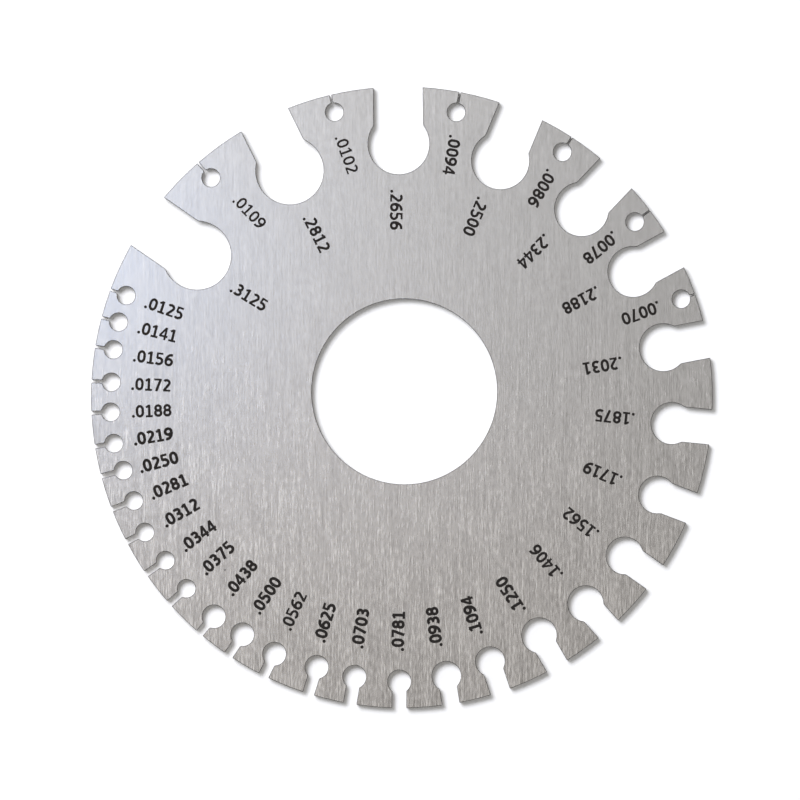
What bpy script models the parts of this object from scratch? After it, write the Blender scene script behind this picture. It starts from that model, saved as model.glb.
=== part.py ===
"""A round sheet and plate gauge: a flat steel disc with a keyhole slot round its rim for each gauge number.

The disc is one piece. Its outline is a single closed line: arcs of the rim, and at each slot two straight walls that
run in to a drilled relief hole. The slot's width is the sheet's thickness, which follows from the sheet's weight.

The origin is the rim's centre on the underside. +Z points out of the marked face, and bearings run anticlockwise
from +X, seen from that face.
"""

import cmath
import math

import bpy

MM = 0.001
INCH = 0.0254

# The disc
RIM_DIAMETER = 85.0 * MM
THICKNESS = 1.6 * MM

# The middle hole, bored a little off the rim's centre
BORE_DIAMETER = 1.0 * INCH
BORE_OFFSET_X = 0.36 * MM
BORE_OFFSET_Y = 0.78 * MM

# The small round left where a slot's wall runs into its relief hole, as a share of the hole's radius
NECK_SHARE = 0.12

# How far the middle of a straight facet may lie from the true arc
FACET_ERROR = 0.01 * MM

# Gauge numbers stand for the weight of iron sheet in ounces a square foot, and 640 ounces make it an inch thick.
# Gauge 0 is the first weight, and each row then gives a number of gauges and what each of them takes off.
OUNCES_PER_INCH = 640.0
FIRST_WEIGHT = 200.0
WEIGHT_STEPS = (
    (1, 20.0),
    (13, 10.0),
    (2, 5.0),
    (4, 4.0),
    (6, 2.0),
    (5, 1.0),
    (5, 0.5),
)

# The drills that make the relief holes of the middle and the fine gauges
MIDDLE_DRILL = 3.2
FINE_DRILL = 2.5

# One row a slot, from gauge 0 to gauge 36: its bearing in degrees, then in millimetres its relief hole's diameter
# and how far inside the rim that hole is drilled. The last six slots stand on the teeth between the wide ones.
SLOTS = (
    (145.3, 9.4, 8.4),
    (116.3, 9.3, 7.9),
    (90.7, 8.4, 7.8),
    (67.4, 7.9, 7.4),
    (46.3, 7.4, 6.9),
    (28.5, 6.9, 6.5),
    (10.8, 6.5, 6.1),
    (354.5, 5.7, 5.4),
    (339.1, 5.1, 5.1),
    (324.6, 5.1, 5.1),
    (311.7, 4.9, 4.7),
    (300.0, 4.8, 4.9),
    (288.5, 4.0, 4.4),
    (279.1, 4.0, 3.9),
    (269.5, MIDDLE_DRILL, 3.6),
    (260.4, MIDDLE_DRILL, 3.7),
    (252.5, MIDDLE_DRILL, 3.8),
    (243.6, MIDDLE_DRILL, 3.3),
    (236.1, MIDDLE_DRILL, 3.4),
    (229.4, MIDDLE_DRILL, 3.0),
    (221.6, FINE_DRILL, 3.1),
    (214.6, FINE_DRILL, 3.2),
    (207.7, FINE_DRILL, 2.8),
    (201.1, FINE_DRILL, 3.2),
    (194.7, FINE_DRILL, 3.1),
    (189.1, FINE_DRILL, 2.6),
    (182.9, FINE_DRILL, 2.6),
    (177.0, FINE_DRILL, 2.7),
    (170.6, FINE_DRILL, 2.5),
    (165.1, FINE_DRILL, 2.4),
    (159.7, FINE_DRILL, 2.3),
    (131.0, FINE_DRILL, 2.7),
    (103.3, FINE_DRILL, 2.4),
    (79.2, FINE_DRILL, 2.8),
    (56.8, FINE_DRILL, 2.4),
    (37.0, FINE_DRILL, 2.6),
    (19.4, FINE_DRILL, 2.0),
)

# Satin stainless steel
STEEL_COLOUR = (0.52, 0.52, 0.51, 1.0)
STEEL_ROUGHNESS = 0.35


def sheet_thicknesses():
    """The thickness of each gauge in metres, from gauge 0 on."""
    weights = [FIRST_WEIGHT]
    for gauges, step in WEIGHT_STEPS:
        for _ in range(gauges):
            weights.append(weights[-1] - step)
    return [weight / OUNCES_PER_INCH * INCH for weight in weights]


def arc(centre, radius, start, end):
    """Points along an arc as complex numbers, both ends included. Angles are in radians."""
    facet_angle = 2 * math.acos(1 - FACET_ERROR / radius)
    facets = max(1, math.ceil(abs(end - start) / facet_angle))
    return [
        centre + cmath.rect(radius, start + (end - start) * i / facets)
        for i in range(facets + 1)
    ]


def half_slot(half_width, hole_radius, mouth):
    """One side of a slot, from the rim to the far end of its hole.

    The hole's centre is the origin, the slot runs out along +X, and mouth is the distance at which its wall meets
    the rim.
    """
    corner = complex(mouth, half_width)
    if hole_radius <= half_width:
        shoulder = complex(0, half_width)
        return [corner, shoulder] + arc(0, hole_radius, math.pi / 2, math.pi)
    # The neck's round lies outside both the wall and the hole, and touches each of them
    neck_radius = hole_radius * NECK_SHARE
    round_side = half_width + neck_radius
    reach = hole_radius + neck_radius
    round_centre = complex(math.sqrt(reach**2 - round_side**2), round_side)
    to_round = cmath.phase(round_centre)
    neck = arc(round_centre, neck_radius, -math.pi / 2, to_round - math.pi)
    hole = arc(0, hole_radius, to_round, math.pi)
    return [corner] + neck + hole[1:]


def slot(width, bearing, hole_diameter, hole_depth):
    """A whole slot in its place on the disc, with its points anticlockwise round the rim."""
    rim_radius = RIM_DIAMETER / 2
    hole_distance = rim_radius - hole_depth
    mouth = math.sqrt(rim_radius**2 - (width / 2) ** 2) - hole_distance
    far_side = half_slot(width / 2, hole_diameter / 2, mouth)
    near_side = [point.conjugate() for point in far_side]
    points = near_side + far_side[-2::-1]
    return [(hole_distance + point) * cmath.rect(1, bearing) for point in points]


def disc_outline():
    """The rim with its slots, as one closed line."""
    slots = []
    for width, (bearing, hole_diameter, hole_depth) in zip(sheet_thicknesses(), SLOTS):
        turn = math.radians(bearing)
        slots.append((turn, slot(width, turn, hole_diameter * MM, hole_depth * MM)))
    slots.sort(key=lambda entry: entry[0])
    outline = []
    for i, (_, points) in enumerate(slots):
        outline += points
        # The rim runs on to the next slot's first corner
        start = cmath.phase(points[-1])
        end = cmath.phase(slots[(i + 1) % len(slots)][1][0])
        if end < start:
            end += 2 * math.pi
        outline += arc(0, RIM_DIAMETER / 2, start, end)[1:-1]
    return outline


def bore_outline():
    """The middle hole, as one closed line."""
    centre = complex(BORE_OFFSET_X, BORE_OFFSET_Y)
    return arc(centre, BORE_DIAMETER / 2, 0, 2 * math.pi)[:-1]


def add_line(curve, points):
    """Adds a closed line of straight facets to a curve."""
    line = curve.splines.new("POLY")
    line.points.add(len(points) - 1)
    for place, point in zip(line.points, points):
        place.co = (point.real, point.imag, 0, 1)
    line.use_cyclic_u = True


def steel_material():
    """Satin stainless steel, in one plain finish all over."""
    material = bpy.data.materials.new("satin_steel")
    material.use_nodes = True
    shader = material.node_tree.nodes["Principled BSDF"]
    shader.inputs["Base Color"].default_value = STEEL_COLOUR
    shader.inputs["Metallic"].default_value = 1.0
    shader.inputs["Roughness"].default_value = STEEL_ROUGHNESS
    return material


def gauge_disc(collection):
    """The disc: its flat outline with the bore cut out of it, as thick as the plate, lying on its underside."""
    curve = bpy.data.curves.new("gauge_disc", "CURVE")
    curve.dimensions = "2D"
    curve.fill_mode = "BOTH"
    curve.extrude = THICKNESS / 2
    add_line(curve, disc_outline())
    add_line(curve, bore_outline())
    curve.materials.append(steel_material())
    disc = bpy.data.objects.new("gauge_disc", curve)
    disc.location.z = THICKNESS / 2
    collection.objects.link(disc)
    return disc


for old in list(bpy.data.objects):
    bpy.data.objects.remove(old, do_unlink=True)
parts = bpy.data.collections.new("wire_gauge")
bpy.context.scene.collection.children.link(parts)
gauge_disc(parts)
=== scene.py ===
"""The looks of a round sheet and plate gauge: a satin steel disc with etched numbers beside its slots.

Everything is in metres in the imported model's frame: the origin is the rim's centre on the underside, +Z
points out of the marked face, and bearings run anticlockwise from +X, seen from that face.
"""

import math

import bmesh
import bpy
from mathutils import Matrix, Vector


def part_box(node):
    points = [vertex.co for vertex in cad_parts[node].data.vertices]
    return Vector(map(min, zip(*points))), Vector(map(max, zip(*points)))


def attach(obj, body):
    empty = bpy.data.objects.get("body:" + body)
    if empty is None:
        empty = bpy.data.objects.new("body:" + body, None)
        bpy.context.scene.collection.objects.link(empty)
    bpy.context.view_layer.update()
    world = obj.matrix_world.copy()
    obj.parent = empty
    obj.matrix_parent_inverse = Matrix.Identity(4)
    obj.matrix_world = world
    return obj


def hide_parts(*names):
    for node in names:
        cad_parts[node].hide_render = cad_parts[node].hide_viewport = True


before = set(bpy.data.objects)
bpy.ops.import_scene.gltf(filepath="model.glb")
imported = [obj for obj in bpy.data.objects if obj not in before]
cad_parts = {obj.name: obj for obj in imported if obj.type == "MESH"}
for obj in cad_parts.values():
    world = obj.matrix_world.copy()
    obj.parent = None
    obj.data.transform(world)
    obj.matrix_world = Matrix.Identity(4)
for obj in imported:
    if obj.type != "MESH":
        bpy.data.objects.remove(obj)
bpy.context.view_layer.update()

MM = 0.001
disc_low, disc_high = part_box("gauge_disc")
UNDERSIDE, MARKED_FACE = disc_low[2], disc_high[2]


# The blank disc.
# It is cut from satin stainless sheet, with its bore, its drilled relief holes and its slots. The cutting
# leaves sharp edges, so a stone or a tumbler has taken them off by a hair all round.

EDGE_BREAK = 0.06 * MM
EDGE_SEGMENTS = 2
WELD_DISTANCE = 0.0005 * MM
FLAT_ANGLE = math.radians(1.0)
CORNER_ANGLE = math.radians(40.0)

# How far up or down a face points, from 0 to 1, at least when it is level and at most when it is upright
LEVEL_LIFT, UPRIGHT_LIFT = 0.9999, 0.0001


def add_object(name, mesh):
    """An object for a mesh, linked to the scene at the origin."""
    made = bpy.data.objects.new(name, mesh)
    bpy.context.scene.collection.objects.link(made)
    return made


def finished_mesh(source, name):
    """The mesh of an object with its modifiers applied."""
    source_evaluated = source.evaluated_get(bpy.context.evaluated_depsgraph_get())
    mesh = bpy.data.meshes.new_from_object(source_evaluated)
    mesh.name = name
    return mesh


def blank_disc():
    """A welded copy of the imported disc, with whole flat faces and its edges broken."""
    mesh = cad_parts["gauge_disc"].data.copy()
    shape = bmesh.new()
    shape.from_mesh(mesh)
    bmesh.ops.remove_doubles(shape, verts=shape.verts, dist=WELD_DISTANCE)
    bmesh.ops.dissolve_limit(shape, angle_limit=FLAT_ANGLE, verts=shape.verts, edges=shape.edges)
    shape.to_mesh(mesh)
    shape.free()
    blank = add_object("disc_blank", mesh)
    edge_break = blank.modifiers.new("edge_break", "BEVEL")
    edge_break.width = EDGE_BREAK
    edge_break.segments = EDGE_SEGMENTS
    edge_break.limit_method = "ANGLE"
    edge_break.angle_limit = CORNER_ANGLE
    edge_break.use_clamp_overlap = False
    return blank


def stands_as(face):
    """Whether a face lies level, stands upright or is part of a broken edge between the two."""
    lift = abs(face.normal.z)
    if lift > LEVEL_LIFT:
        return "level"
    return "upright" if lift < UPRIGHT_LIFT else "broken"


def mark_corners(mesh):
    """Shades round walls smooth, and keeps corners and the borders between kinds of surface sharp."""
    shape = bmesh.new()
    shape.from_mesh(mesh)
    for face in shape.faces:
        face.smooth = True
    for edge in shape.edges:
        kinds = {stands_as(face) for face in edge.link_faces}
        edge.smooth = len(kinds) == 1 and edge.calc_face_angle(math.pi) < CORNER_ANGLE
    shape.to_mesh(mesh)
    shape.free()


disc_blank = blank_disc()


# The digits.
# The numbers are etched through a stencil with plain round digits, drawn here as the strokes of a pen. A
# stroke is a line of points in units of the digit's height, with x from the middle of the digit's space.

PEN = 0.205
FINE_PEN = 0.168
BAR_PEN = 0.158
FOOT_PEN = 0.156
BOTTOM_LINE = PEN / 2
TOP_LINE = 1 - PEN / 2
WAIST = 0.52
DOT_RADIUS = 0.118
DOT_SIDES = 14
MEETING_DISTANCE = 1e-5

# The etching ate less at two numbers of the marked face, and more at most of those along its bottom and its
# lower left. Each edge of a stroke grows by this, in the same units
THIN, PLAIN, BOLD = range(3)
EDGE_GROWTH = {THIN: -0.018, PLAIN: 0.0, BOLD: 0.015}


def bow(x, y, width, height, start, end, steps=12):
    """Points along an oval about (x, y), from one angle to another in degrees."""
    angles = [math.radians(start + (end - start) * i / steps) for i in range(steps + 1)]
    return [complex(x + width / 2 * math.cos(a), y + height / 2 * math.sin(a)) for a in angles]


def ring(x, low, high, width, bend):
    """Points round a closed oval between two heights, with straight sides between its two bends."""
    return bow(x, high - bend / 2, width, bend, 0, 180) + bow(x, low + bend / 2, width, bend, 180, 360)


def line(*points):
    """Points given as pairs."""
    return [complex(x, y) for x, y in points]


def open_stroke(points, pen=PEN):
    """A stroke with two ends, as its points, whether it is closed and its pen's width."""
    return points, False, pen


def closed_stroke(points, pen=PEN):
    """A stroke that runs back into its own start."""
    return points, True, pen


def half_turn(strokes):
    """The same strokes, turned upside down about the digit's middle."""
    return [([complex(0, 1) - point for point in points], closed, pen) for points, closed, pen in strokes]


SIX = (
    closed_stroke(ring(0.01, BOTTOM_LINE, WAIST + 0.045, 0.48, 0.44)),
    open_stroke(bow(0.18, 0.36, 0.84, 2 * (TOP_LINE - 0.36), 178, 76)),
)
DIGITS = (
    (closed_stroke(ring(0, BOTTOM_LINE, TOP_LINE, 0.46, 0.6)),),
    (
        open_stroke(line((0.02, 0.02), (0.02, 0.99))),
        open_stroke(line((0.03, 0.95), (-0.24, 0.775)), FINE_PEN),
        open_stroke(line((-0.27, 0.08), (0.29, 0.08)), FINE_PEN),
    ),
    (
        open_stroke(bow(-0.03, 0.69, 0.46, 2 * (TOP_LINE - 0.69), 145, -32) + line((-0.22, 0.09))),
        open_stroke(line((-0.28, 0.078), (0.29, 0.078)), FOOT_PEN),
    ),
    (
        open_stroke(bow(-0.04, (TOP_LINE + WAIST) / 2, 0.43, TOP_LINE - WAIST, 145, -90)),
        open_stroke(bow(-0.05, (BOTTOM_LINE + WAIST) / 2, 0.505, WAIST - BOTTOM_LINE, 90, -142)),
        open_stroke(line((-0.14, WAIST), (0.02, WAIST)), FINE_PEN),
    ),
    (
        open_stroke(line((0.13, 0.97), (-0.28, 0.31)), FINE_PEN),
        open_stroke(line((-0.34, 0.285), (0.33, 0.285)), FINE_PEN),
        open_stroke(line((0.135, 0), (0.135, 0.99)), FINE_PEN),
    ),
    (
        open_stroke(line((-0.26, 0.92), (0.24, 0.92)), BAR_PEN),
        open_stroke(line((-0.185, 0.96), (-0.205, 0.53)), FINE_PEN),
        open_stroke(line((-0.22, 0.56), (-0.07, 0.57)) + bow(-0.06, 0.325, 0.54, 0.485, 82, -142)),
    ),
    SIX,
    (
        open_stroke(line((-0.29, 0.92), (0.3, 0.92)), BAR_PEN),
        open_stroke(line((0.23, 0.97), (-0.1, 0))),
    ),
    (
        closed_stroke(ring(0, WAIST - 0.01, TOP_LINE, 0.4, 0.37)),
        closed_stroke(ring(0, BOTTOM_LINE, WAIST + 0.01, 0.455, 0.4)),
    ),
    half_turn(SIX),
)


def pen_edges(points, closed, pen):
    """Where the two edges of the pen pass, as pairs of points along a stroke."""
    pairs = []
    for i, point in enumerate(points):
        last = i == len(points) - 1
        incoming = point - points[i - 1] if i or closed else points[1] - point
        outgoing = points[(i + 1) % len(points)] - point if closed or not last else incoming
        incoming /= abs(incoming)
        outgoing /= abs(outgoing)
        middle = (incoming + outgoing) / abs(incoming + outgoing)
        reach = pen / 2 / (middle * incoming.conjugate()).real
        pairs.append((point + middle * 1j * reach, point - middle * 1j * reach))
    return pairs


def add_stroke(shape, points, closed, pen):
    """Adds one stroke as a solid one unit thick, with its face at height 0."""
    sections = []
    for left, right in pen_edges(points, closed, pen):
        corners = ((left, -1), (right, -1), (right, 0), (left, 0))
        sections.append([shape.verts.new((corner.real, corner.imag, z)) for corner, z in corners])
    spans = list(zip(sections, sections[1:]))
    if closed:
        spans.append((sections[-1], sections[0]))
    else:
        shape.faces.new(sections[0])
        shape.faces.new(sections[-1][::-1])
    for near, far in spans:
        for i in range(4):
            j = (i + 1) % 4
            shape.faces.new((near[j], near[i], far[i], far[j]))


def digit_mesh(name, strokes):
    """The strokes of one digit, overlapping as drawn."""
    shape = bmesh.new()
    for points, closed, pen in strokes:
        add_stroke(shape, points, closed, pen)
    bmesh.ops.remove_doubles(shape, verts=shape.verts, dist=MEETING_DISTANCE)
    bmesh.ops.recalc_face_normals(shape, faces=shape.faces)
    mesh = bpy.data.meshes.new(name)
    shape.to_mesh(mesh)
    shape.free()
    return mesh


def add_node(tree, kind, inputs=None, **settings):
    """Adds a node to a tree, with its settings, and fills or links the inputs that are given."""
    node = tree.nodes.new(kind)
    for name, value in settings.items():
        setattr(node, name, value)
    for name, value in (inputs or {}).items():
        if isinstance(value, bpy.types.NodeSocket):
            tree.links.new(value, node.inputs[name])
        else:
            node.inputs[name].default_value = value
    return node


def shape_tree(name, sockets):
    """A Geometry Nodes tree that takes and gives a shape, with an input for each name and kind of socket."""
    tree = bpy.data.node_groups.new(name, "GeometryNodeTree")
    tree.interface.new_socket("Geometry", in_out="OUTPUT", socket_type="NodeSocketGeometry")
    tree.interface.new_socket("Geometry", in_out="INPUT", socket_type="NodeSocketGeometry")
    for socket_name, kind in sockets:
        tree.interface.new_socket(socket_name, in_out="INPUT", socket_type=kind)
    return tree, tree.nodes.new("NodeGroupInput").outputs


def shaped_by(tree, source, values, name):
    """The mesh that a tree makes of an object, with the tree's inputs set by name."""
    modifier = source.modifiers.new(tree.name, "NODES")
    modifier.node_group = tree
    for socket in tree.interface.items_tree:
        if socket.in_out == "INPUT" and socket.name in values:
            modifier[socket.identifier] = values[socket.name]
    mesh = finished_mesh(source, name)
    source.modifiers.remove(modifier)
    return mesh


def stroke_union():
    """The tree that joins a digit's overlapping strokes into one solid."""
    tree, given = shape_tree("stroke_union", [])
    union = add_node(tree, "GeometryNodeMeshBoolean", operation="UNION", solver="EXACT")
    union.inputs["Self Intersection"].default_value = True
    tree.links.new(given["Geometry"], union.inputs["Mesh 2"])
    add_node(tree, "NodeGroupOutput", {"Geometry": union.outputs["Mesh"]})
    return tree


def point_mesh(name, radius):
    """The decimal point, as a round solid one unit thick."""
    shape = bmesh.new()
    bmesh.ops.create_cone(
        shape, cap_ends=True, segments=DOT_SIDES, radius1=radius, radius2=radius, depth=1.0
    )
    bmesh.ops.translate(shape, vec=(0, DOT_RADIUS, -0.5), verts=shape.verts)
    mesh = bpy.data.meshes.new(name)
    shape.to_mesh(mesh)
    shape.free()
    return mesh


def stencil_signs():
    """A collection that holds the ten digits and the decimal point in order, once for each weight."""
    joined = stroke_union()
    collection = bpy.data.collections.new("stencil_signs")
    for weight, growth in EDGE_GROWTH.items():
        for value, strokes in enumerate(DIGITS):
            name = f"sign_{weight}_{value:02d}"
            grown = [(points, closed, pen + 2 * growth) for points, closed, pen in strokes]
            loose = add_object("loose_strokes", digit_mesh("loose_strokes", grown))
            collection.objects.link(bpy.data.objects.new(name, shaped_by(joined, loose, {}, name)))
            bpy.data.objects.remove(loose)
        name = f"sign_{weight}_{len(DIGITS):02d}"
        collection.objects.link(bpy.data.objects.new(name, point_mesh(name, DOT_RADIUS + growth)))
    return collection


signs = stencil_signs()


# The numbers.
# Each slot's width in inches stands on the marked face, and its gauge number on the underside. Both are
# etched a few hundredths of a millimetre deep, and a black film stays on the etched floor.

# From one digit to the next, and from the first digit back to the decimal point, in digit heights
DIGIT_PITCH = 0.722
POINT_LEAD = 0.527

ETCH_DEPTH = 0.045 * MM
FILM_THICKNESS = 0.028 * MM
CUT_CLEARANCE = 0.02 * MM
DECIMALS = 4
INCH_MARK_HEIGHT = 1.73 * MM
GAUGE_MARK_HEIGHT = 2.1 * MM
GAUGE_MARK_OUTWARD = 0.9 * MM

# Gauge numbers stand for the weight of iron sheet in ounces a square foot, and 640 ounces make it an inch
# thick. Gauge 0 is the first weight, and each row then gives a number of gauges and what each takes off.
OUNCES_PER_INCH = 640.0
FIRST_WEIGHT = 200.0
WEIGHT_STEPS = ((1, 20.0), (13, 10.0), (2, 5.0), (4, 4.0), (6, 2.0), (5, 1.0), (5, 0.5))

# One row a number, from gauge 0 to gauge 36: its bearing in degrees, its middle's distance from the rim's
# centre in millimetres, how many degrees its line leans, because each was set by hand, and its weight on
# the marked face
NUMBER_PLACES = (
    (146.5, 24.75, 2.0, PLAIN),
    (117.4, 25.0, -0.5, PLAIN),
    (91.7, 25.4, -2.5, PLAIN),
    (67.8, 26.4, -1.0, PLAIN),
    (47.8, 26.65, -2.5, PLAIN),
    (28.4, 27.6, -0.5, PLAIN),
    (8.9, 27.5, 1.0, PLAIN),
    (354.7, 28.95, -1.0, PLAIN),
    (339.1, 29.1, -2.0, PLAIN),
    (324.8, 29.65, -3.0, PLAIN),
    (311.2, 29.7, -1.0, PLAIN),
    (298.7, 30.6, 3.5, BOLD),
    (287.7, 31.1, -1.0, BOLD),
    (278.0, 31.45, -1.0, BOLD),
    (269.1, 31.7, -0.5, BOLD),
    (259.8, 31.8, 0.5, BOLD),
    (251.1, 32.25, 2.0, BOLD),
    (243.1, 32.45, 2.5, PLAIN),
    (235.6, 32.55, 0.0, BOLD),
    (228.3, 32.75, 1.5, BOLD),
    (221.0, 33.2, 1.5, BOLD),
    (214.2, 33.4, 2.0, BOLD),
    (207.5, 33.85, 2.5, BOLD),
    (200.9, 33.85, 2.5, BOLD),
    (194.9, 34.15, 0.5, BOLD),
    (188.9, 34.15, 0.5, BOLD),
    (183.1, 34.0, -1.0, PLAIN),
    (177.1, 34.05, 0.5, PLAIN),
    (171.0, 34.15, 1.5, PLAIN),
    (165.0, 34.3, 1.0, PLAIN),
    (159.4, 34.4, 2.0, PLAIN),
    (129.3, 32.55, 4.0, THIN),
    (102.7, 33.8, 7.0, THIN),
    (78.3, 33.55, 1.5, PLAIN),
    (56.1, 34.15, 3.0, PLAIN),
    (36.9, 33.75, 3.0, PLAIN),
    (19.4, 34.4, 0.5, PLAIN),
)


def sheet_inches():
    """The thickness of each gauge in inches, from gauge 0 on."""
    weights = [FIRST_WEIGHT]
    for gauges, step in WEIGHT_STEPS:
        for _ in range(gauges):
            weights.append(weights[-1] - step)
    return [weight / OUNCES_PER_INCH for weight in weights]


def number_points(name, values, places, weights, outward, height):
    """One point for each number, at its middle, with its value, digit count, weight and direction."""
    points, turns = [], []
    for bearing, distance, lean, _ in NUMBER_PLACES:
        turn = math.radians(bearing)
        reach = distance * MM + outward
        points.append((reach * math.cos(turn), reach * math.sin(turn), height))
        turns.append(turn + math.pi + math.radians(lean))
    mesh = bpy.data.meshes.new(name)
    mesh.from_pydata(points, [], [])
    for attribute, data in (("value", values), ("places", places), ("weight", weights)):
        mesh.attributes.new(attribute, "INT", "POINT").data.foreach_set("value", data)
    mesh.attributes.new("turn", "FLOAT", "POINT").data.foreach_set("value", turns)
    return add_object(name, mesh)


def number_ring():
    """The tree that writes a number at each point, digit by digit, from the stencil's signs."""
    sockets = (
        ("Signs", "NodeSocketCollection"),
        ("Show Point", "NodeSocketBool"),
        ("Face Down", "NodeSocketBool"),
        ("Digit Height", "NodeSocketFloat"),
        ("Pitch", "NodeSocketFloat"),
        ("Point Lead", "NodeSocketFloat"),
        ("Thickness", "NodeSocketFloat"),
        ("Material", "NodeSocketMaterial"),
    )
    tree, given = shape_tree("number_ring", sockets)

    def calculate(operation, *values):
        """The result of a sum, product or other operation on sockets and numbers."""
        return add_node(tree, "ShaderNodeMath", dict(enumerate(values)), operation=operation).outputs[0]

    def attribute(name, kind):
        """What a named attribute holds at each point."""
        return add_node(tree, "GeometryNodeInputNamedAttribute", {"Name": name}, data_type=kind).outputs[0]

    def along_line(points, distance):
        """The points moved along their own lines by a distance in digit heights, onto the line's foot."""
        turn = attribute("turn", "FLOAT")
        side = calculate("MULTIPLY", distance, given["Digit Height"])
        foot = calculate("MULTIPLY", calculate("MULTIPLY", given["Digit Height"], -0.5), facing)
        x_by_side = calculate("MULTIPLY", calculate("COSINE", turn), side)
        y_by_side = calculate("MULTIPLY", calculate("SINE", turn), side)
        x_by_foot = calculate("MULTIPLY", calculate("SINE", turn), foot)
        y_by_foot = calculate("MULTIPLY", calculate("COSINE", turn), foot)
        offset = add_node(
            tree,
            "ShaderNodeCombineXYZ",
            {"X": calculate("SUBTRACT", x_by_side, x_by_foot), "Y": calculate("ADD", y_by_side, y_by_foot)},
        )
        moved = add_node(
            tree, "GeometryNodeSetPosition", {"Geometry": points, "Offset": offset.outputs[0]}
        )
        return moved.outputs[0]

    def stamp(points, sign, selection=True):
        """A sign of the number's weight at each point, turned to its line and scaled to its height."""
        place = calculate("MULTIPLY_ADD", attribute("weight", "INT"), len(DIGITS) + 1.0, sign)
        inputs = {
            "Points": points,
            "Selection": selection,
            "Instance": library,
            "Pick Instance": True,
            "Instance Index": place,
            "Rotation": rotation,
            "Scale": scale,
        }
        return add_node(tree, "GeometryNodeInstanceOnPoints", inputs).outputs[0]

    # A number on the underside is rolled half a turn about its own line
    facing = calculate("SUBTRACT", 1.0, calculate("MULTIPLY", given["Face Down"], 2.0))
    roll = calculate("MULTIPLY", given["Face Down"], math.pi)
    angles = add_node(tree, "ShaderNodeCombineXYZ", {"X": roll, "Z": attribute("turn", "FLOAT")}).outputs[0]
    rotation = add_node(tree, "FunctionNodeEulerToRotation", {"Euler": angles}).outputs[0]
    scale = add_node(
        tree,
        "ShaderNodeCombineXYZ",
        {"X": given["Digit Height"], "Y": given["Digit Height"], "Z": given["Thickness"]},
    ).outputs[0]

    places = attribute("places", "INT")
    half_pitch = calculate("MULTIPLY", given["Pitch"], 0.5)
    half_line = calculate("MULTIPLY", calculate("SUBTRACT", places, 1.0), half_pitch)
    points = add_node(tree, "GeometryNodeMeshToPoints", {"Mesh": given["Geometry"]}).outputs[0]
    copies = add_node(
        tree, "GeometryNodeDuplicateElements", {"Geometry": points, "Amount": places}, domain="POINT"
    )
    index = copies.outputs["Duplicate Index"]

    # The digit at an index is what is left of the value below its own power of ten
    power = calculate("POWER", 10.0, calculate("SUBTRACT", calculate("SUBTRACT", places, 1.0), index))
    shifted = calculate("DIVIDE", calculate("ADD", attribute("value", "INT"), 0.5), power)
    digit = calculate("MODULO", calculate("FLOOR", shifted), 10.0)
    kept = add_node(
        tree,
        "GeometryNodeStoreNamedAttribute",
        {"Geometry": copies.outputs["Geometry"], "Name": "digit", "Value": digit},
        data_type="INT",
        domain="POINT",
    )
    from_middle = calculate("SUBTRACT", calculate("MULTIPLY", index, given["Pitch"]), half_line)
    digit_points = along_line(kept.outputs[0], from_middle)
    library = add_node(
        tree,
        "GeometryNodeCollectionInfo",
        {"Collection": given["Signs"], "Separate Children": True, "Reset Children": True},
    ).outputs[0]
    written = stamp(digit_points, attribute("digit", "INT"))

    # The decimal point stands before the first digit
    before = calculate("MULTIPLY", calculate("ADD", half_line, given["Point Lead"]), -1.0)
    dots = stamp(along_line(points, before), float(len(DIGITS)), given["Show Point"])

    joined = add_node(tree, "GeometryNodeJoinGeometry")
    tree.links.new(written, joined.inputs[0])
    tree.links.new(dots, joined.inputs[0])
    real = add_node(tree, "GeometryNodeRealizeInstances", {"Geometry": joined.outputs[0]}).outputs[0]
    coated = add_node(
        tree, "GeometryNodeSetMaterial", {"Geometry": real, "Material": given["Material"]}
    ).outputs[0]
    add_node(tree, "NodeGroupOutput", {"Geometry": coated})
    return tree


def write_numbers(tree, points, height, thickness, face_down, material, name):
    """The mesh of a ring of numbers of one height and thickness."""
    values = {
        "Signs": signs,
        "Show Point": not face_down,
        "Face Down": face_down,
        "Digit Height": height,
        "Pitch": DIGIT_PITCH,
        "Point Lead": POINT_LEAD,
        "Thickness": thickness,
        "Material": material,
    }
    return shaped_by(tree, points, values, name)


def ring_of_numbers(tree, face_down, start, thickness, material, name):
    """One face's numbers, as solids that start a given way out of the face and reach into it."""
    inches = sheet_inches()
    if face_down:
        values = list(range(len(inches)))
        places = [len(str(value)) for value in values]
        weights = [PLAIN] * len(values)
        points = number_points(name, values, places, weights, GAUGE_MARK_OUTWARD, UNDERSIDE - start)
        height = GAUGE_MARK_HEIGHT
    else:
        values = [round(width * 10**DECIMALS) for width in inches]
        places = [DECIMALS] * len(values)
        weights = [weight for *_, weight in NUMBER_PLACES]
        points = number_points(name, values, places, weights, 0.0, MARKED_FACE + start)
        height = INCH_MARK_HEIGHT
    mesh = write_numbers(tree, points, height, thickness, face_down, material, name)
    bpy.data.objects.remove(points)
    return mesh


def join_meshes(name, meshes):
    """One mesh that holds all of the given ones."""
    shape = bmesh.new()
    for mesh in meshes:
        shape.from_mesh(mesh)
    joined = bpy.data.meshes.new(name)
    shape.to_mesh(joined)
    shape.free()
    return joined


def both_faces(tree, start, thickness, material, name):
    """The numbers of both faces in one mesh."""
    rings = [
        ring_of_numbers(tree, face_down, start, thickness, material, name) for face_down in (False, True)
    ]
    joined = join_meshes(name, rings)
    if material:
        joined.materials.append(material)
    return joined


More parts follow.
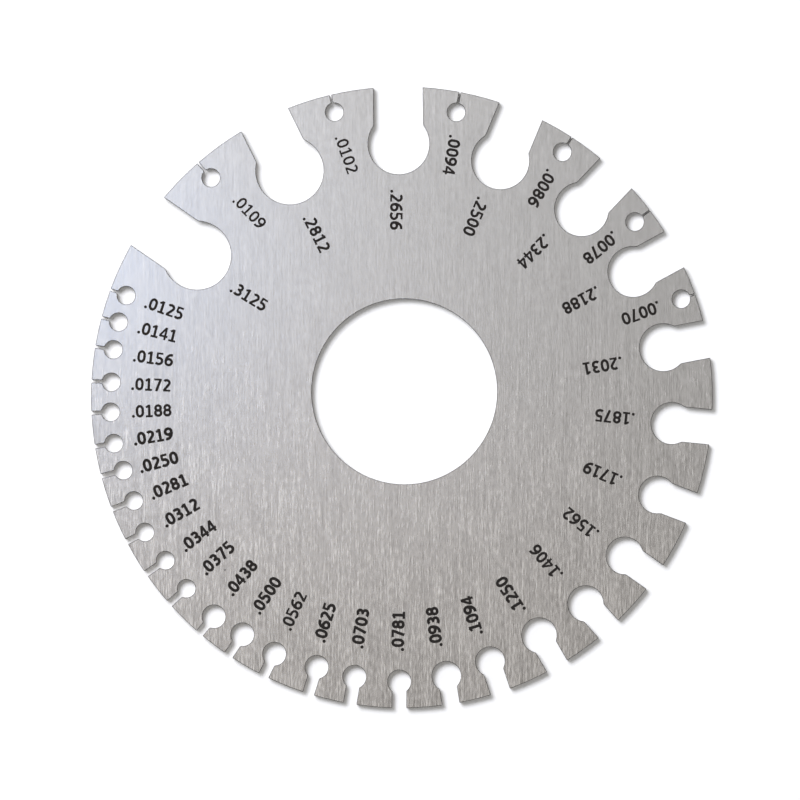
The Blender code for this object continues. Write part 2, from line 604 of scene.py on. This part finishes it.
def etched_disc(tree):
    """The disc with its numbers sunk into both faces."""
    cutter = add_object(
        "etch_cutter", both_faces(tree, CUT_CLEARANCE, ETCH_DEPTH + CUT_CLEARANCE, None, "etch_cutter")
    )
    etch = disc_blank.modifiers.new("etch", "BOOLEAN")
    etch.operation = "DIFFERENCE"
    etch.solver = "EXACT"
    etch.object = cutter
    mesh = finished_mesh(disc_blank, "steel_disc")
    mark_corners(mesh)
    bpy.data.objects.remove(cutter)
    bpy.data.objects.remove(disc_blank)
    return add_object("steel_disc", mesh)


write_tree = number_ring()
steel_disc = etched_disc(write_tree)


# The finish of the steel.
# The sheet is drawn under a belt along Y, which leaves a fine straight grain on both faces, faint at the +Y
# side and stronger towards -Y. The tint is a little less warm at the +Y side, which is painted sheen in
# place of the cool lamps' reflection there. The cut walls carry upright lines, and the broken edges are dull
# and painted near black, a painted shade that draws a dark outline round every edge.

# One row a layer of the grain: its streaks' width and length, their detail and the layer's share
GRAIN_LAYERS = (
    (0.13 * MM, 0.9 * MM, 0.0, 0.85),
    (0.14 * MM, 4.0 * MM, 0.0, 0.65),
    (0.7 * MM, 9.0 * MM, 2.0, 0.2),
)
SCRATCH_WIDTH, SCRATCH_LENGTH, SCRATCH_SHARE = 0.14 * MM, 3.0 * MM, 0.3
WALL_LINE_WIDTH, WALL_LINE_LENGTH, WALL_LINE_DETAIL = 0.2 * MM, 3.0 * MM, 1.0
PIT_SPACING, PIT_SIZE, PIT_SHARE = 5.0 * MM, 0.12 * MM, 0.3

# Where along Y the belt's bite is at its faintest and at its fullest, and the bite and the tint there. The
# tint at the faint end is less warm, as painted sheen in place of the cool reflection on that side.
FAINT_END, FULL_END = 32 * MM, -42 * MM
FAINT_BITE, FULL_BITE = 0.33, 1.15
FAINT_END_SHEEN_TINT = (1.025, 1.0, 0.965)
FULL_TINT = (1.058, 1.0, 0.932)

STEEL_TONE, TONE_SWING = 0.51, 0.2
WALL_TONE_GAIN = 0.12
# The broken edges' tone is painted shade: near black, so that a dark outline runs round every edge
EDGE_SHADE_TONE, PIT_TONE = 0.04, 0.12
STEEL_ROUGHNESS, ROUGHNESS_SWING = 0.24, 0.16
EDGE_ROUGHNESS = 0.85
GRAIN_BUMP, GRAIN_DEPTH = 0.5, 0.01 * MM

# How far up or down the surface points, from 0 to 1, at most on a cut wall and at least on a flat face
WALL_LIMIT, FACE_LIMIT = 0.1, 0.97


def shader_group(name, inputs, outputs):
    """A shader node group with the named inputs and outputs. Returns its tree and its input sockets."""
    tree = bpy.data.node_groups.new(name, "ShaderNodeTree")
    for socket_name, kind in inputs:
        tree.interface.new_socket(socket_name, in_out="INPUT", socket_type=kind)
    for socket_name in outputs:
        tree.interface.new_socket(socket_name, in_out="OUTPUT", socket_type="NodeSocketFloat")
    return tree, tree.nodes.new("NodeGroupInput").outputs


def calculate(tree, operation, *values):
    """The result of a sum, product or comparison of sockets and numbers."""
    return add_node(tree, "ShaderNodeMath", dict(enumerate(values)), operation=operation).outputs[0]


def drawn_out(tree, given):
    """A place on the surface in units of a streak's width across and of its length along Y and Z."""
    across = calculate(tree, "DIVIDE", 1.0, given["Width"])
    along = calculate(tree, "DIVIDE", 1.0, given["Length"])
    stretch = add_node(tree, "ShaderNodeCombineXYZ", {"X": across, "Y": along, "Z": along}).outputs[0]
    factors = {0: given["Position"], 1: stretch}
    return add_node(tree, "ShaderNodeVectorMath", factors, operation="MULTIPLY").outputs[0]


def grain_group():
    """Streaks along Y, about zero: noise that is drawn out, with a width and a length given in metres."""
    inputs = (
        ("Position", "NodeSocketVector"),
        ("Width", "NodeSocketFloat"),
        ("Length", "NodeSocketFloat"),
        ("Detail", "NodeSocketFloat"),
    )
    tree, given = shader_group("straight_grain", inputs, ["Grain"])
    streaks = {"Vector": drawn_out(tree, given), "Scale": 1.0, "Detail": given["Detail"]}
    noise = add_node(tree, "ShaderNodeTexNoise", streaks).outputs[0]
    add_node(tree, "NodeGroupOutput", {"Grain": calculate(tree, "SUBTRACT", noise, 0.5)})
    return tree


def scratch_group():
    """Single scratches along Y, about zero: long cells of one tone each, with a width and a length."""
    inputs = (
        ("Position", "NodeSocketVector"),
        ("Width", "NodeSocketFloat"),
        ("Length", "NodeSocketFloat"),
    )
    tree, given = shader_group("straight_scratches", inputs, ["Scratch"])
    cells = add_node(tree, "ShaderNodeTexVoronoi", {"Vector": drawn_out(tree, given), "Scale": 1.0})
    tone = add_node(tree, "ShaderNodeSeparateColor", {0: cells.outputs["Color"]}).outputs[0]
    add_node(tree, "NodeGroupOutput", {"Scratch": calculate(tree, "SUBTRACT", tone, 0.5)})
    return tree


def cut_group():
    """Masks that are 1 on the upright cut walls and on the broken edges, by the surface's direction."""
    tree, given = shader_group("cut_surfaces", [("Normal", "NodeSocketVector")], ["Wall", "Edge"])
    direction = add_node(tree, "ShaderNodeSeparateXYZ", {0: given["Normal"]}).outputs
    lift = calculate(tree, "ABSOLUTE", direction["Z"])
    wall = calculate(tree, "LESS_THAN", lift, WALL_LIMIT)
    face = calculate(tree, "GREATER_THAN", lift, FACE_LIMIT)
    edge = calculate(tree, "SUBTRACT", calculate(tree, "SUBTRACT", 1.0, wall), face)
    add_node(tree, "NodeGroupOutput", {"Wall": wall, "Edge": edge})
    return tree


def pit_group():
    """A mask of a few small round pits, with their spacing and size in metres and the share that is kept."""
    inputs = (
        ("Position", "NodeSocketVector"),
        ("Spacing", "NodeSocketFloat"),
        ("Size", "NodeSocketFloat"),
        ("Share", "NodeSocketFloat"),
    )
    tree, given = shader_group("pits", inputs, ["Pit"])
    scale = calculate(tree, "DIVIDE", 1.0, given["Spacing"])
    cells = add_node(tree, "ShaderNodeTexVoronoi", {"Vector": given["Position"], "Scale": scale})
    reach = calculate(tree, "MULTIPLY", scale, given["Size"])
    near = calculate(tree, "LESS_THAN", cells.outputs["Distance"], reach)
    pick = add_node(tree, "ShaderNodeSeparateColor", {0: cells.outputs["Color"]}).outputs[0]
    chosen = calculate(tree, "LESS_THAN", pick, given["Share"])
    add_node(tree, "NodeGroupOutput", {"Pit": calculate(tree, "MULTIPLY", near, chosen)})
    return tree


def new_material(name):
    """A material, its tree, its Principled shader and its texture coordinates."""
    material = bpy.data.materials.new(name)
    material.use_nodes = True
    tree = material.node_tree
    return material, tree, tree.nodes["Principled BSDF"], add_node(tree, "ShaderNodeTexCoord").outputs


def satin_steel():
    """Satin stainless steel with a straight grain on the faces and upright lines on the cut walls."""
    material, tree, shader, coordinates = new_material("satin_steel")
    position = coordinates["Object"]
    grain = grain_group()

    def use_group(group, **inputs):
        """A group's first output, at the object's own coordinates."""
        node = add_node(tree, "ShaderNodeGroup", node_tree=group)
        tree.links.new(position, node.inputs["Position"])
        for name, value in inputs.items():
            node.inputs[name].default_value = value
        return node.outputs[0]

    def mix(mask, first, second):
        """The first value where the mask is 0 and the second where it is 1."""
        return add_node(tree, "ShaderNodeMix", {0: mask, 2: first, 3: second}).outputs[0]

    # The belt bit harder towards -Y. The same ramp turns the tint less warm towards +Y, as painted sheen
    along = add_node(tree, "ShaderNodeSeparateXYZ", {0: position}).outputs["Y"]
    bite_and_sheen = add_node(
        tree,
        "ShaderNodeMapRange",
        {"Value": along, "From Min": FAINT_END, "From Max": FULL_END},
        interpolation_type="SMOOTHSTEP",
    ).outputs[0]
    bite = mix(bite_and_sheen, FAINT_BITE, FULL_BITE)
    lines = 0.0
    for width, length, detail, share in GRAIN_LAYERS:
        layer = use_group(grain, Width=width, Length=length, Detail=detail)
        lines = calculate(tree, "MULTIPLY_ADD", layer, share, lines)
    lines = calculate(tree, "MULTIPLY", lines, bite)
    scratch = use_group(scratch_group(), Width=SCRATCH_WIDTH, Length=SCRATCH_LENGTH)
    scratch = calculate(tree, "MULTIPLY", scratch, bite)

    masks = add_node(tree, "ShaderNodeGroup", node_tree=cut_group())
    tree.links.new(coordinates["Normal"], masks.inputs["Normal"])
    wall, edge = masks.outputs["Wall"], masks.outputs["Edge"]
    stretch = (1 / WALL_LINE_WIDTH, 1 / WALL_LINE_WIDTH, 1 / WALL_LINE_LENGTH)
    place = add_node(tree, "ShaderNodeVectorMath", {0: position, 1: stretch}, operation="MULTIPLY")
    streaks = {"Vector": place.outputs[0], "Scale": 1.0, "Detail": WALL_LINE_DETAIL}
    upright = add_node(tree, "ShaderNodeTexNoise", streaks).outputs[0]
    lines = mix(wall, lines, calculate(tree, "SUBTRACT", upright, 0.5))
    pit = use_group(pit_group(), Spacing=PIT_SPACING, Size=PIT_SIZE, Share=PIT_SHARE)

    tone = calculate(tree, "MULTIPLY_ADD", scratch, SCRATCH_SHARE, lines)
    tone = calculate(tree, "MULTIPLY_ADD", tone, TONE_SWING, STEEL_TONE)
    tone = mix(wall, tone, calculate(tree, "ADD", tone, WALL_TONE_GAIN))
    # Painted shade: the broken edges are made near black, a dark outline round every edge
    tone = mix(edge, tone, EDGE_SHADE_TONE)
    tone = mix(pit, tone, PIT_TONE)
    # Painted sheen: the tint is less warm towards +Y, standing in for the cool reflection on that side
    tints_with_sheen = [mix(bite_and_sheen, faint, full) for faint, full in zip(FAINT_END_SHEEN_TINT, FULL_TINT)]
    red, green, blue = (calculate(tree, "MULTIPLY", tone, tint) for tint in tints_with_sheen)
    colour = add_node(tree, "ShaderNodeCombineColor", {"Red": red, "Green": green, "Blue": blue})
    roughness = calculate(tree, "MULTIPLY_ADD", lines, ROUGHNESS_SWING, STEEL_ROUGHNESS)
    roughness = mix(edge, roughness, EDGE_ROUGHNESS)
    relief = {"Strength": GRAIN_BUMP, "Distance": GRAIN_DEPTH, "Height": lines}
    bump = add_node(tree, "ShaderNodeBump", relief)
    tree.links.new(colour.outputs[0], shader.inputs["Base Color"])
    tree.links.new(roughness, shader.inputs["Roughness"])
    tree.links.new(bump.outputs[0], shader.inputs["Normal"])
    shader.inputs["Metallic"].default_value = 1.0
    return material


steel_disc.data.materials.clear()
steel_disc.data.materials.append(satin_steel())
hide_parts("gauge_disc")
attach(steel_disc, "root")


# The black film in the etched numbers.
# It is the oxide that the etching leaves on the floor of each digit, dull and a little uneven.

FILM_TINT = (1.25, 1.0, 0.85)
FILM_DARKEST, FILM_LIGHTEST = 0.003, 0.016
FILM_PATCH, FILM_DETAIL = 0.6 * MM, 3.0
FILM_ROUGHNESS, FILM_SHINE = 0.75, 0.2


def etched_black():
    """Dull black that varies a little from stroke to stroke."""
    material, tree, shader, coordinates = new_material("etched_black")
    patches = {"Vector": coordinates["Object"], "Scale": 1 / FILM_PATCH, "Detail": FILM_DETAIL}
    noise = add_node(tree, "ShaderNodeTexNoise", patches).outputs[0]
    tones = {"Value": noise, "To Min": FILM_DARKEST, "To Max": FILM_LIGHTEST}
    tone = add_node(tree, "ShaderNodeMapRange", tones).outputs[0]
    red, green, blue = (calculate(tree, "MULTIPLY", tone, part) for part in FILM_TINT)
    colour = add_node(tree, "ShaderNodeCombineColor", {"Red": red, "Green": green, "Blue": blue})
    tree.links.new(colour.outputs[0], shader.inputs["Base Color"])
    shader.inputs["Roughness"].default_value = FILM_ROUGHNESS
    shader.inputs["Specular IOR Level"].default_value = FILM_SHINE
    return material


etched_numbers = add_object(
    "etched_numbers",
    both_faces(write_tree, FILM_THICKNESS - ETCH_DEPTH, FILM_THICKNESS, etched_black(), "etched_numbers"),
)
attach(etched_numbers, "root")


# The table.
# A plain white sheet under the gauge. It keeps the gauge's shadow and shows white where the lamps light it
# in full. It is clear from below and against the underside, so that the underside can be seen and lit.

TABLE_WIDTH = 4.0
TABLE_GAP = 0.02 * MM
CONTACT_REACH = 0.1 * MM
TABLE_COLOUR = (0.9, 0.9, 0.9, 1.0)
TABLE_GLOW = 0.03


def table_white():
    """White paint, with a faint glow that only the camera, mirrors and glass see, clear from below."""
    material = bpy.data.materials.new("table_white")
    material.use_nodes = True
    tree = material.node_tree
    tree.nodes.clear()
    paths = add_node(tree, "ShaderNodeLightPath").outputs
    seen = calculate(tree, "MAXIMUM", paths["Is Camera Ray"], paths["Is Glossy Ray"])
    seen = calculate(tree, "MAXIMUM", seen, paths["Is Transmission Ray"])
    glow_level = calculate(tree, "MULTIPLY", seen, TABLE_GLOW)
    paint = add_node(tree, "ShaderNodeBsdfDiffuse", {"Color": TABLE_COLOUR})
    glow = add_node(tree, "ShaderNodeEmission", {"Color": (1.0, 1.0, 1.0, 1.0), "Strength": glow_level})
    front = add_node(tree, "ShaderNodeAddShader", {0: paint.outputs[0], 1: glow.outputs[0]})
    behind = add_node(tree, "ShaderNodeNewGeometry").outputs["Backfacing"]
    touching = calculate(tree, "LESS_THAN", paths["Ray Length"], CONTACT_REACH)
    open_side = calculate(tree, "MAXIMUM", behind, touching)
    clear = add_node(tree, "ShaderNodeBsdfTransparent")
    sides = add_node(tree, "ShaderNodeMixShader", {0: open_side, 1: front.outputs[0], 2: clear.outputs[0]})
    add_node(tree, "ShaderNodeOutputMaterial", {"Surface": sides.outputs[0]})
    return material


bpy.ops.mesh.primitive_plane_add(size=TABLE_WIDTH, location=(0, 0, UNDERSIDE - TABLE_GAP))
table = bpy.context.object
table.name = "table"
table.data.materials.append(table_white())


# The light.
# An even pale room and a softbox to the upper left, which throws the short soft shadow to the lower right.
# A small cool card near the disc puts the broad sheen on its upper left, and one overhead evens the rest.

ROOM_COLOUR = (1.01, 1.0, 0.97)
ROOM_LEVEL = 0.37

# One row a lamp: its name, its place, the side of its square, its level and its colour
LAMPS = (
    ("far_softbox", (-0.365, 0.392, 1.074), 0.46, 19.5, (0.99, 1.0, 1.05)),
    ("overhead_card", (-0.03, 0.0, 0.9), 0.1, 1.0, (1.0, 1.0, 1.1)),
    ("near_card", (-0.063, 0.026, 0.317), 0.04, 1.35, (0.68, 1.0, 1.7)),
)


def light_room():
    """Lights the scene evenly from all round."""
    world = bpy.data.worlds.new("room")
    world.use_nodes = True
    background = world.node_tree.nodes["Background"]
    background.inputs["Color"].default_value = (*ROOM_COLOUR, 1.0)
    background.inputs["Strength"].default_value = ROOM_LEVEL
    bpy.context.scene.world = world


def add_lamp(name, place, size, level, colour):
    """A square lamp that faces the origin. Its level is the brightness of its own surface, 1 for white."""
    lamp = bpy.data.lights.new(name, "AREA")
    lamp.shape = "SQUARE"
    lamp.size = size
    lamp.color = colour
    lamp.energy = level * math.pi * size**2
    holder = bpy.data.objects.new(name, lamp)
    bpy.context.scene.collection.objects.link(holder)
    holder.location = place
    holder.rotation_euler = (-Vector(place)).to_track_quat("-Z", "Y").to_euler()
    holder.visible_camera = False


light_room()
for lamp_row in LAMPS:
    add_lamp(*lamp_row)


# The camera.
# It looks straight down from well above the disc, a little off the rim's centre, as the photograph does.

FRAME_WIDTH = 109.42 * MM
LENS = 400.0
SENSOR = 36.0
CLIP_NEAR, CLIP_FAR = 0.01, 20.0
FRAME_MIDDLE = (-0.247 * MM, -0.369 * MM)


def add_camera():
    """The camera, as high above the marked face as makes the frame's width fill the picture."""
    camera = bpy.data.cameras.new("camera")
    camera.lens = LENS
    camera.sensor_width = SENSOR
    camera.clip_start = CLIP_NEAR
    camera.clip_end = CLIP_FAR
    holder = bpy.data.objects.new("camera", camera)
    bpy.context.scene.collection.objects.link(holder)
    holder.location = (*FRAME_MIDDLE, MARKED_FACE + FRAME_WIDTH * LENS / SENSOR)
    bpy.context.scene.camera = holder


add_camera()
bpy.context.scene.view_settings.view_transform = "Standard"
